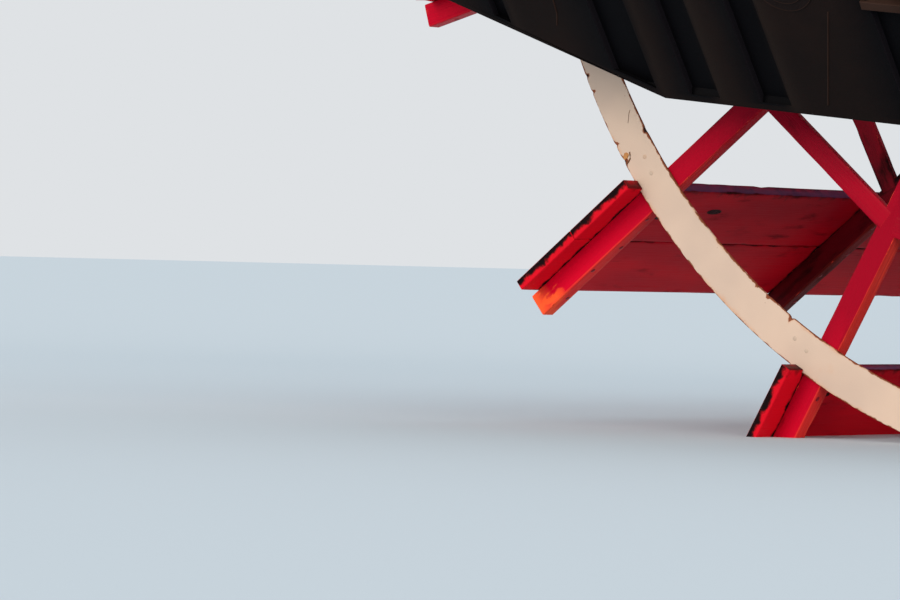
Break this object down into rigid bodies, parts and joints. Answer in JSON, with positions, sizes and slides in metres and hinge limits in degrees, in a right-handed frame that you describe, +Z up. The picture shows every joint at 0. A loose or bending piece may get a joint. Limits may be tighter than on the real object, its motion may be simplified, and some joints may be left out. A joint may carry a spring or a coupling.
{
  "type": "stern paddle wheel",
  "caption": "Red timber stern paddle wheel with white end rings, on a cranked shaft that turns in bearings on raked, flared stern beams, cut off at the hull.",
  "frame": {"origin": "on the shaft level, midway between the cut forward ends of the stern beams, where they join the hull", "axes": "+X points forward to the hull, +Y along the shaft to the far side, +Z up"},
  "size_m": [8.1966, 8.4, 7.5932],
  "materials": {
    "red_timber": "weathered crimson paint on sawn timber",
    "white_rim": "cream-white paint on flat steel, rust at the edges",
    "red_iron": "crimson paint on cast iron",
    "bright_steel": "machined and greased steel",
    "dark_beam": "near-black brown paint on steel plate",
    "bearing_iron": "near-black paint on cast iron"
  },
  "bodies": {
    "stern_frame": {"near_beam": "dark_beam", "near_guard": "dark_beam", "near_bearing_base": "bearing_iron", "near_bearing_cap": "bearing_iron", "far_beam": "dark_beam", "far_guard": "dark_beam", "far_bearing_base": "bearing_iron", "far_bearing_cap": "bearing_iron", "transom_beam": "dark_beam"},
    "paddle_wheel": {"wheel_shaft": "bright_steel", "hub_1": "red_iron", "hub_2": "red_iron", "hub_3": "red_iron", "hub_4": "red_iron", "arm_set_1": "red_timber", "arm_set_2": "red_timber", "arm_set_3": "red_timber", "arm_set_4": "red_timber", "near_rim_ring": "white_rim", "far_rim_ring": "white_rim", "paddle_01": "red_timber", "paddle_02": "red_timber", "paddle_03": "red_timber", "paddle_04": "red_timber", "paddle_05": "red_timber", "paddle_06": "red_timber", "paddle_07": "red_timber", "paddle_08": "red_timber", "paddle_09": "red_timber", "paddle_10": "red_timber", "paddle_11": "red_timber", "paddle_12": "red_timber", "paddle_13": "red_timber", "paddle_14": "red_timber", "paddle_15": "red_timber", "paddle_16": "red_timber", "near_crank": "bright_steel", "far_crank": "bright_steel"}
  },
  "joints": [
    {"name": "wheel_spin", "type": "hinge", "parent": "stern_frame", "child": "paddle_wheel", "pos_m": [-4.4, 0, 0], "axis": [0, 1, 0], "continuous": true}
  ]
}
